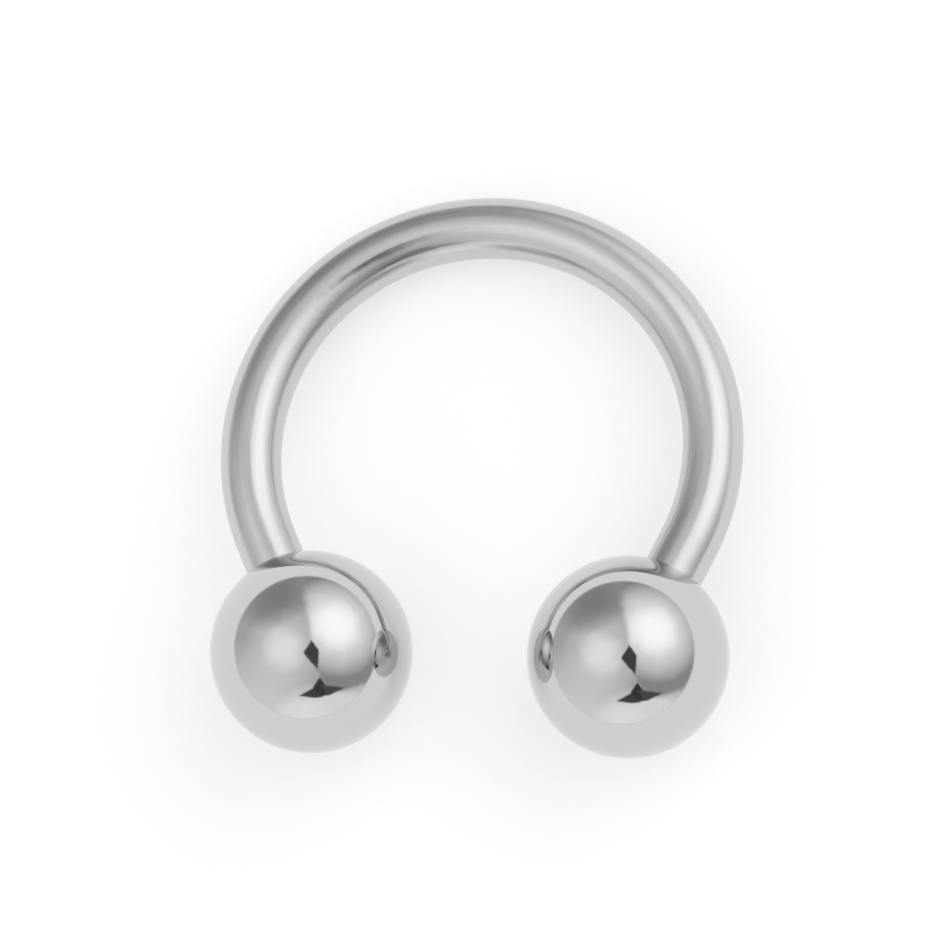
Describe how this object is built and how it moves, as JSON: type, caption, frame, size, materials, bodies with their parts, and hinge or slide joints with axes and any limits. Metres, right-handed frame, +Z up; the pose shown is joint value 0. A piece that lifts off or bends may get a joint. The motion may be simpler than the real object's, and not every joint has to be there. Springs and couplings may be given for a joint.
{
  "type": "horseshoe barbell",
  "caption": "Horseshoe barbell: a round steel wire bent into an open ring, with a polished steel ball screwed onto each threaded end.",
  "frame": {"origin": "on the surface that it lies on, under the middle of its box", "axes": "+X from the left ball to the right ball, +Y from the balls to the far side of the bend, +Z up"},
  "size_m": [0.0104, 0.0112, 0.004],
  "materials": {
    "drawn_steel": "drawn stainless steel wire, polished to a soft gloss with fine lines along the wire",
    "mirror_steel": "stainless steel polished to a mirror"
  },
  "bodies": {
    "bar": {"bar": "drawn_steel"},
    "left_ball": {"ball_left": "mirror_steel"},
    "right_ball": {"ball_right": "mirror_steel"}
  },
  "joints": [
    {"name": "left_ball_unscrew", "type": "slide", "parent": "bar", "child": "left_ball", "axis": [0.4147, -0.8983, 0.1451], "range_m": [0, 0.0022]},
    {"name": "right_ball_unscrew", "type": "slide", "parent": "bar", "child": "right_ball", "axis": [-0.4147, -0.8983, 0.1451], "range_m": [0, 0.0022]}
  ]
}
